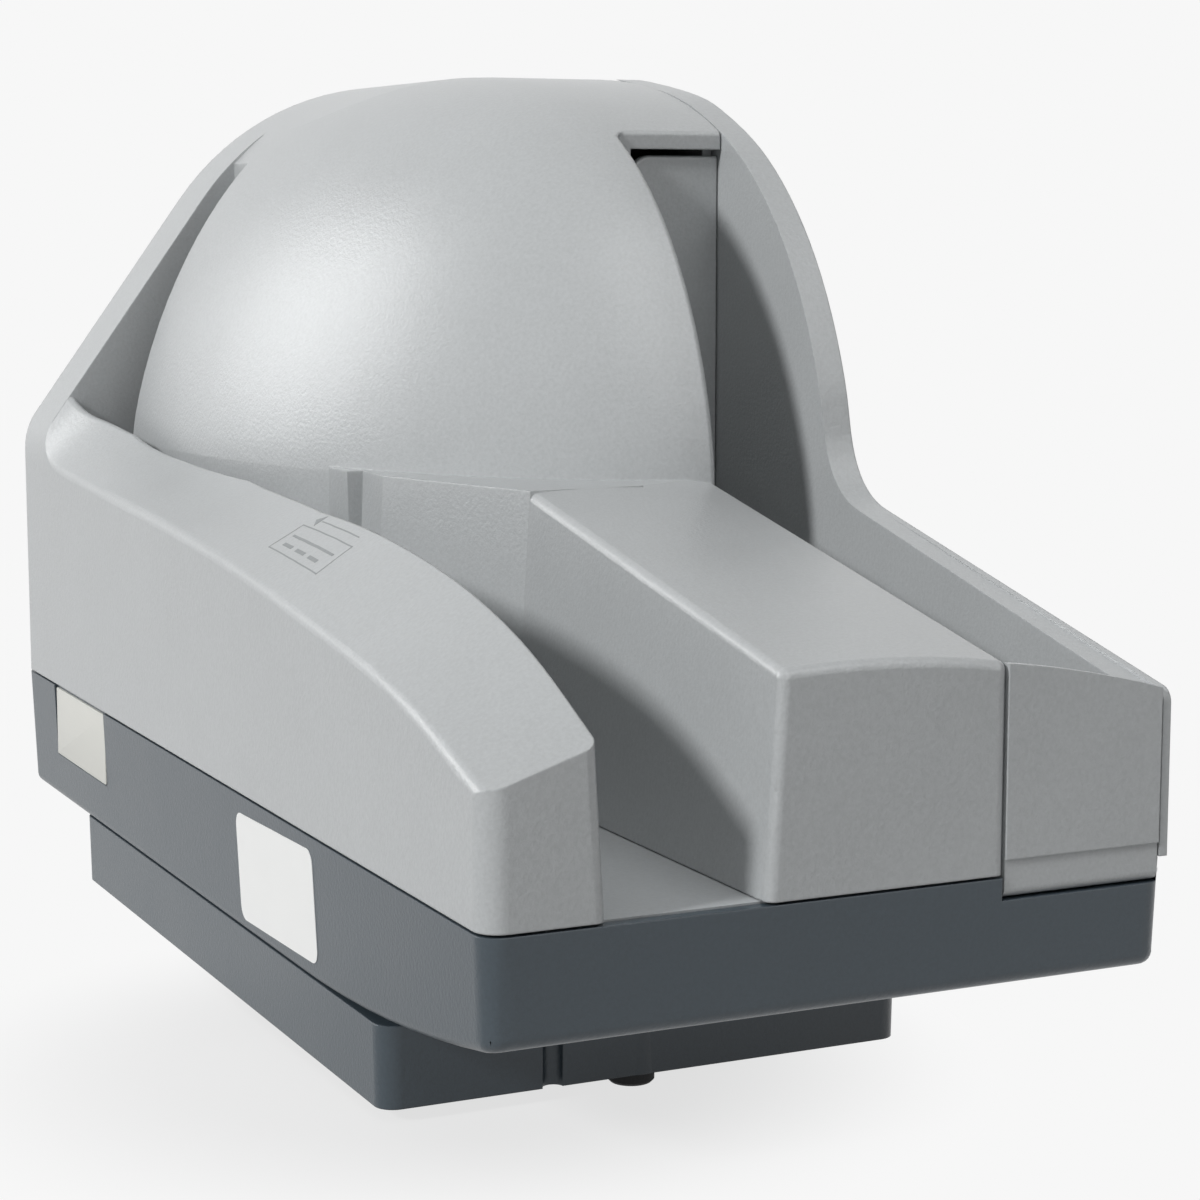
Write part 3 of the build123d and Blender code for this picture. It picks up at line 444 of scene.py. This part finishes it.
class ScannerSizes(bpy.types.PropertyGroup):
    """Sizes of the small pieces."""

    label_length: length_property("Label length", "Side label, front to back", 0.0508)
    label_height: length_property("Label height", "Side label, bottom to top", 0.0247)
    label_corner: length_property("Label corner", "Radius of the label's corners", 0.0032)
    label_thickness: length_property("Label thickness", "How far the label stands proud", 0.00015)
    plate_thickness: length_property("Plate thickness", "Name plate in its recess", 0.0006)
    base_round: length_property("Base rounding", "Radius of the base's lower edges", 0.0034)
    cover_round: length_property("Cover rounding", "Radius of the right cover's front corner", 0.0025)
    mark_line: length_property("Mark line", "Breadth of the feed mark's lines", 0.0003)
    mark_thickness: length_property("Mark thickness", "How far the feed mark stands proud", 0.00006)
    screw_radius: length_property("Screw radius", "Radius of a screw's head", 0.0025)
    screw_height: length_property("Screw height", "Height of a screw's head", 0.0014)


# ------------------------------------------------------------------ operators


class SCANNER_OT_finishes(bpy.types.Operator):
    """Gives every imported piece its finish"""

    bl_idname = "scanner.finishes"
    bl_label = "Finishes"

    def execute(self, context):
        colours = context.scene.scanner_colours
        cover = grained("cover moulding", colours.cover, 0.31, edge=0.0006)
        thin = grained("thin cover moulding", colours.cover, 0.34, edge=0.00035)
        base = grained("base moulding", colours.base, 0.32, edge=0.0006)
        inside = grained("deck moulding", colours.inside, 0.5, depth=0.00003)
        black = grained("black moulding", colours.fittings, 0.45, depth=0.00003, uneven=0.1)
        enamel = grained("black enamel", (0.03, 0.032, 0.035), 0.3, grain=0.0005, depth=0.00002)
        acetal = grained("white acetal", colours.acetal, 0.35, grain=0.0003, depth=0.00001)
        rubber = grained("matt rubber", colours.rubber, 0.8, grain=0.0003, depth=0.00002, uneven=0.12)
        lengthwise = brushed("turned steel", colours.steel, 0.3, 2)
        plain = brushed("plain steel", colours.steel, 0.35, 0)
        window = clear_window("clear acrylic", (0.82, 0.88, 0.9))
        board = circuit("circuit board", colours.board)
        table = {
            cover: ["top_cover", "right_cover"],
            thin: ["exit_flap", "exit_panel"],
            base: ["base_housing", "pedestal"],
            inside: ["track_deck"],
            rubber: ["feet", "drive_belt", "separator_pad"],
            black: ["left_camera", "right_camera", "cartridge_cradle", "ink_cartridge"],
            enamel: ["feed_motor"],
            plain: ["hinge_brackets", "magnetic_head", "usb_port", "arm_springs"],
            lengthwise: ["motor_shaft", "pivot_pins", "board_screws", "roller_bearings", "hinge_pins"],
            window: ["left_camera_window", "right_camera_window"],
            board: ["main_board"],
            acetal: ["motor_pulley"],
        }
        table[black] += ["board_components", "power_inlet", "separator_arm"]
        table[lengthwise].append("flap_hinge_pin")
        for roller in ("feed", "exit_drive", "turn_drive"):
            table[rubber].append(f"{roller}_tyre")
            table[black].append(f"{roller}_hub")
            table[acetal].append(f"{roller}_pulley")
            table[lengthwise].append(f"{roller}_shaft")
        for pinch in ("exit_pinch", "turn_pinch"):
            table[black].append(f"{pinch}_arm")
            table[acetal].append(f"{pinch}_roller")
        finished = {node: material for material, nodes in table.items() for node in nodes}
        for node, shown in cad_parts.items():
            for place in shown.material_slots:
                place.link = "OBJECT"
                place.material = finished[node]
        return {"FINISHED"}


class SCANNER_OT_mouldings(bpy.types.Operator):
    """Rounds the lower edges of the base and the outer edges of the right cover"""

    bl_idname = "scanner.mouldings"
    bl_label = "Mouldings"

    def execute(self, context):
        sizes = context.scene.scanner_sizes
        colours = context.scene.scanner_colours
        base = moulding("base_housing")
        soften(base, self.under_edge, sizes.base_round, segments=5)
        settle(base, grained("base shell", colours.base, 0.32, edge=0.0005), "base")
        shade_broad(base)
        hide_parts("base_housing")
        cover = moulding("right_cover")
        soften(cover, self.front_corner, sizes.cover_round, segments=6)
        soften(cover, self.right_side, width=0.0006, segments=3)
        settle(cover, grained("right cover shell", colours.cover, 0.34, edge=0.0005), "base")
        shade_broad(cover)
        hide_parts("right_cover")
        return {"FINISHED"}

    def under_edge(self, place):
        """True on the line where the base's sides meet its bottom, which rises to the front."""
        belly, start, reach = 505.0, 102.0, 0.35
        ahead = max(0.0, start - place[1])
        return abs(place[2] - (BOTTOM + belly - (belly**2 - ahead**2) ** 0.5)) < reach

    def front_corner(self, place):
        """True on the edges of the right cover's front face, well above the parting plane."""
        return place[1] < 1 and place[2] > 30

    def right_side(self, place):
        """True on the edges of the right cover's outer face, above the parting plane."""
        return place[0] > WIDTH - 1 and place[2] > 0.5


class SCANNER_OT_side_label(bpy.types.Operator):
    """Adds the blank label on the left side of the base"""

    bl_idname = "scanner.side_label"
    bl_label = "Side label"

    def execute(self, context):
        sizes = context.scene.scanner_sizes
        colours = context.scene.scanner_colours
        thickness, sunk = sizes.label_thickness, 0.02
        tilt = radians(-1.5)
        label = slab("side_label", (thickness, sizes.label_length, sizes.label_height), (0, 0, 0))
        bevel_edges(label, lambda middle, way: abs(way.x) > 0.9, sizes.label_corner, 8)
        label.rotation_euler = (tilt, -BASE_DRAFT, 0)
        label.location = side_place(117.0, -16.4, thickness / MM / 2 - sunk)
        settle(label, paper("label paper", colours.label), "base")
        return {"FINISHED"}


class SCANNER_OT_name_plate(bpy.types.Operator):
    """Adds the bare plate in the recess on the left side of the base"""

    bl_idname = "scanner.name_plate"
    bl_label = "Name plate"

    def execute(self, context):
        thickness = context.scene.scanner_sizes.plate_thickness
        length, height = 0.0485, 0.0185
        recess, sunk = 1.0, 0.02
        plate = slab("name_plate", (thickness, length, height), (0, 0, 0))
        bevel_edges(plate, lambda middle, way: abs(way.x) > 0.9, 0.0006, 4)
        bevel_edges(plate, lambda middle, way: middle.x < -thickness * 0.4, 0.0002, 2)
        plate.location = at(recess - thickness / MM / 2 + sunk, 277.2, -10.4)
        settle(plate, paper("plate face", (0.66, 0.66, 0.62)), "base")
        return {"FINISHED"}


class SCANNER_OT_feed_mark(bpy.types.Operator):
    """Adds the plain mark on the left cover that shows which way a paper is fed"""

    bl_idname = "scanner.feed_mark"
    bl_label = "Feed mark"
    above = 90  # the flat pieces start at this height and drop on the cover

    def execute(self, context):
        sizes = context.scene.scanner_sizes
        line = sizes.mark_line / MM
        left, right, front, back = 8.4, 16.6, 110.0, 141.0
        stripe, dashes, arrow = left + 4.9, left + 2.2, right + 2.4
        lines = [
            ((left, front), (left, back), line),
            ((right, front), (right, back), line),
            ((left, front), (right, front), line),
            ((left, back), (right, back), line),
            ((stripe, front + 3), (stripe, back - 3), 2 * line),
        ]
        for place in (front + 6, front + 14, front + 22):
            lines.append(((dashes, place), (dashes, place + 4.5), 3 * line))
        lines.append(((arrow, front + 2), (arrow, back - 6), line))
        strips = [self.strip(*ends) for ends in lines]
        strips.append(self.arrow_head(arrow, back - 4.0, radius=2.0))
        mark = joined(strips, "feed_mark")
        only(mark)
        wrap = mark.modifiers.new("wrap", "SHRINKWRAP")
        wrap.wrap_method = "PROJECT"
        wrap.use_project_z = True
        wrap.use_negative_direction = True
        wrap.use_positive_direction = False
        wrap.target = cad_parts["top_cover"]
        bpy.ops.object.modifier_apply(modifier=wrap.name)
        body = mark.modifiers.new("body", "SOLIDIFY")
        body.thickness = sizes.mark_thickness
        body.offset = 0.6
        bpy.ops.object.modifier_apply(modifier=body.name)
        colours = context.scene.scanner_colours
        settle(mark, grained("mark ink", colours.mark, 0.5, depth=0.00002), "cover")
        return {"FINISHED"}

    def strip(self, start, end, breadth):
        """Flat strip above the cover, cut up along its length so that it can bend."""
        bpy.ops.object.select_all(action="DESELECT")
        middle = ((start[0] + end[0]) / 2, (start[1] + end[1]) / 2)
        bpy.ops.mesh.primitive_plane_add(size=1, location=at(*middle, self.above))
        strip = bpy.context.object
        size = [abs(end[axis] - start[axis]) + breadth for axis in (0, 1)]
        strip.scale = (size[0] * MM, size[1] * MM, 1)
        bpy.ops.object.transform_apply(location=True, rotation=True, scale=True)
        bpy.ops.object.mode_set(mode="EDIT")
        bpy.ops.mesh.subdivide(number_cuts=12)
        bpy.ops.object.mode_set(mode="OBJECT")
        return strip

    def arrow_head(self, x, y, radius):
        """Flat triangle that points to the back."""
        bpy.ops.object.select_all(action="DESELECT")
        bpy.ops.mesh.primitive_circle_add(
            vertices=3, radius=radius * MM, fill_type="NGON", location=at(x, y, self.above)
        )
        bpy.ops.object.transform_apply(location=True, rotation=True, scale=True)
        bpy.ops.object.mode_set(mode="EDIT")
        bpy.ops.mesh.inset(thickness=radius * MM * 0.2)
        bpy.ops.object.mode_set(mode="OBJECT")
        return bpy.context.object


class SCANNER_OT_screws(bpy.types.Operator):
    """Adds the screws of the case, the deck, the motor and the hinge"""

    bl_idname = "scanner.screws"
    bl_label = "Screws"

    def execute(self, context):
        colours = context.scene.scanner_colours
        bright = brushed("zinc plated steel", colours.steel, 0.28, 0)
        dark = brushed("blackened steel", colours.dark_steel, 0.42, 0)
        sizes = context.scene.scanner_sizes
        head = screw_head(sizes.screw_radius, sizes.screw_height)
        down = (pi, 0, 0)
        ceiling, deck, bracket, motor_face = BOTTOM - 3.0, -0.25, 2.0, 33.75
        motor, spacing = 84, 15
        places = [
            (f"pedestal_screw_{x}_{y}", at(x, y, ceiling), down, dark)
            for x in (30, 95)
            for y in (92, 250)
        ]
        places += [(f"case_screw_{y}", at(137, y, BOTTOM), down, dark) for y in (120, 285)]
        places += [
            (f"deck_screw_{x}_{y}", at(x, y, deck), (0, 0, 0.4), bright)
            for x in (10, 140)
            for y in (60, 250)
        ]
        places += [(f"hinge_screw_{x}", at(x, 319.2, bracket), (0, 0, 0.9), bright) for x in (32, 118)]
        places += [
            (f"motor_screw_{x}_{y}", at(motor + x, motor + y, motor_face), (0, 0, 0.7), bright)
            for x in (-spacing, spacing)
            for y in (-spacing, spacing)
        ]
        for name, place, turn, material in places:
            settle(copied(head, name, place, turn), material, "base")
        bpy.data.objects.remove(head)
        return {"FINISHED"}


class SCANNER_OT_springs(bpy.types.Operator):
    """Adds the wound springs of the pinch rollers and the separator"""

    bl_idname = "scanner.springs"
    bl_label = "Springs"

    def execute(self, context):
        model = self.coil(radius=0.0022, wire=0.00034, turns=4, height=0.0033)
        springs = []
        for x, y, z in ((132.4, 217.0, 5.3), (132.4, 281.0, 5.3), (28.5, 196.0, 38.3)):
            springs.append(copied(model, "spring", at(x, y, z)))
        bpy.data.objects.remove(model)
        pieces = joined(springs, "wound_springs")
        colours = context.scene.scanner_colours
        settle(pieces, brushed("spring wire", colours.steel, 0.25, 2), "base")
        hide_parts("arm_springs")
        return {"FINISHED"}

    def coil(self, radius, wire, turns, height):
        """Wire wound round the upright axis, closed at both ends."""
        bpy.ops.object.select_all(action="DESELECT")
        bpy.ops.mesh.primitive_circle_add(
            vertices=10, radius=wire, location=(radius, 0, wire), rotation=(pi / 2, 0, 0)
        )
        coil = bpy.context.object
        bpy.ops.object.transform_apply(location=True, rotation=True, scale=True)
        wind = coil.modifiers.new("wind", "SCREW")
        wind.steps = wind.render_steps = 18
        wind.iterations = turns
        wind.screw_offset = (height - 2 * wire) / turns
        bpy.ops.object.modifier_apply(modifier=wind.name)
        bpy.ops.object.mode_set(mode="EDIT")
        bpy.ops.mesh.select_mode(type="VERT")
        bpy.ops.mesh.select_all(action="SELECT")
        bpy.ops.mesh.remove_doubles(threshold=0.000001)
        bpy.ops.mesh.select_all(action="DESELECT")
        bpy.ops.mesh.select_non_manifold()
        bpy.ops.mesh.edge_face_add()
        bpy.ops.mesh.select_all(action="SELECT")
        bpy.ops.mesh.normals_make_consistent(inside=False)
        bpy.ops.object.mode_set(mode="OBJECT")
        return coil


class SCANNER_OT_socket_contacts(bpy.types.Operator):
    """Adds the gilt contacts on the tongue of the data socket"""

    bl_idname = "scanner.socket_contacts"
    bl_label = "Socket contacts"

    def execute(self, context):
        breadth, length, thickness = 0.0008, 0.0078, 0.0003
        strips = []
        for x in (45.2, 47.8):
            for z in (-17.5, -21.6):
                strip = slab("contact", (breadth, length, thickness), at(x, 324.6, z))
                bevel_edges(strip, lambda middle, way: abs(way.y) > 0.9, 0.00008, 2)
                strips.append(strip)
        contacts = joined(strips, "socket_contacts")
        gilt = brushed("gilt contact", (0.83, 0.62, 0.28), 0.25, 1)
        settle(contacts, gilt, "base")
        return {"FINISHED"}


class SCANNER_OT_studio(bpy.types.Operator):
    """Adds the floor, the lamps, the background and the camera"""

    bl_idname = "scanner.studio"
    bl_label = "Studio"

    def execute(self, context):
        colour = tuple(context.scene.scanner_colours.floor)
        self.floor(colour)
        self.world(colour)
        self.lamps()
        self.camera(context)
        context.scene.view_settings.view_transform = "Standard"
        return {"FINISHED"}

    def floor(self, colour):
        """Wide floor of one even colour, with some of its shading left under the machine's front left."""
        bpy.ops.object.select_all(action="DESELECT")
        bpy.ops.mesh.primitive_plane_add(size=12, location=(0, 0, 0))
        floor = bpy.context.object
        floor.name = "studio_floor"
        finish = Finish("floor paint", Roughness=0.9, Specular_IOR_Level=0.0)
        specks = finish.noise(size=0.004, detail=3.0)
        finish.set("Base Color", finish.tint(specks, scaled(colour, 0.575), scaled(colour, 0.58)))
        spot = (-0.045, -0.070, 0)  # in metres, as the two distances from it are
        inner, outer, shaded, clear = 0.05, 0.12, 0.78, 1.0
        offset = finish.node("ShaderNodeVectorMath", {"operation": "SUBTRACT"}, [finish.place(), spot])
        away = finish.node("ShaderNodeVectorMath", {"operation": "LENGTH"}, [offset], "Value")
        even = finish.node(
            "ShaderNodeMapRange",
            {"interpolation_type": "SMOOTHSTEP"},
            [away, inner, outer, shaded, clear],
        )
        finish.seen_as(colour, even)
        floor.data.materials.append(finish.material)

    def world(self, colour):
        """Even light, and the pale background where the camera looks, mirrored or through glass."""
        world = bpy.data.worlds.new("studio light")
        bpy.context.scene.world = world
        world.use_nodes = True
        shading = Shading(world.node_tree)
        ambient = shading.tree.nodes["Background"]
        ambient.inputs["Color"].default_value = (1, 1, 1, 1)
        ambient.inputs["Strength"].default_value = 0.14
        light = Value(shading, ambient.outputs["Background"])
        shown = shading.node("ShaderNodeBackground", {}, {"Color": (*colour, 1), "Strength": 1.0})
        straight, through, mirrored = (
            shading.node("ShaderNodeLightPath", {}, {}, f"Is {ray} Ray")
            for ray in ("Camera", "Transmission", "Glossy")
        )
        looked_at = straight.either(through).either(mirrored)
        mixed = shading.node("ShaderNodeMixShader", {}, [looked_at, light, shown])
        shading.join(mixed, shading.tree.nodes["World Output"].inputs["Surface"])

    def lamps(self):
        """Low light from the left, a soft one from above and two that only make the sheen."""
        for name, strength, spread, towards, sheen in (
            ("key_light", 2.1, 9, (0.85, 0.16, -0.50), False),
            ("top_light", 1.0, 60, (0.05, 0.40, -0.91), False),
            ("sheen_light", 1.5, 34, (0.70, -0.59, -0.41), True),
            ("front_sheen_light", 1.3, 60, (-0.20, 0.62, -0.76), True),
        ):
            lamp = bpy.data.lights.new(name, "SUN")
            lamp.energy = strength
            lamp.angle = radians(spread)
            shown = bpy.data.objects.new(name, lamp)
            shown.rotation_euler = Vector(towards).to_track_quat("-Z", "Y").to_euler()
            shown.visible_glossy = sheen
            shown.visible_diffuse = not sheen
            bpy.context.collection.objects.link(shown)

    def camera(self, context):
        """Camera at the front left, a little above the machine."""
        down, right = radians(7.966), radians(25.379)
        lens = bpy.data.cameras.new("camera")
        lens.lens = 84.14
        lens.sensor_width = 36
        camera = bpy.data.objects.new("camera", lens)
        camera.location = (-0.2658, -0.6170, 0.1826)
        camera.rotation_euler = (pi / 2 - down, 0, -right)
        context.collection.objects.link(camera)
        context.scene.camera = camera


class SCANNER_PT_panel(bpy.types.Panel):
    """Lists the scanner's operators, sizes and colours"""

    bl_idname = "SCANNER_PT_panel"
    bl_label = "Cheque scanner"
    bl_space_type = "VIEW_3D"
    bl_region_type = "UI"
    bl_category = "Scanner"

    def draw(self, context):
        for operator in OPERATORS:
            self.layout.operator(operator.bl_idname)
        for group in (context.scene.scanner_colours, context.scene.scanner_sizes):
            for setting in group.bl_rna.properties:
                if setting.identifier not in ("rna_type", "name"):
                    self.layout.prop(group, setting.identifier)


OPERATORS = (
    SCANNER_OT_finishes,
    SCANNER_OT_mouldings,
    SCANNER_OT_side_label,
    SCANNER_OT_name_plate,
    SCANNER_OT_feed_mark,
    SCANNER_OT_screws,
    SCANNER_OT_springs,
    SCANNER_OT_socket_contacts,
    SCANNER_OT_studio,
)
CLASSES = (ScannerColours, ScannerSizes, *OPERATORS, SCANNER_PT_panel)


def register():
    for item in CLASSES:
        bpy.utils.register_class(item)
    bpy.types.Scene.scanner_colours = bpy.props.PointerProperty(type=ScannerColours)
    bpy.types.Scene.scanner_sizes = bpy.props.PointerProperty(type=ScannerSizes)


def unregister():
    del bpy.types.Scene.scanner_sizes
    del bpy.types.Scene.scanner_colours
    for item in reversed(CLASSES):
        bpy.utils.unregister_class(item)


def main():
    """Builds everything in order."""
    register()
    for operator in OPERATORS:
        group, name = operator.bl_idname.split(".")
        getattr(getattr(bpy.ops, group), name)()


if __name__ == "__main__":
    main()
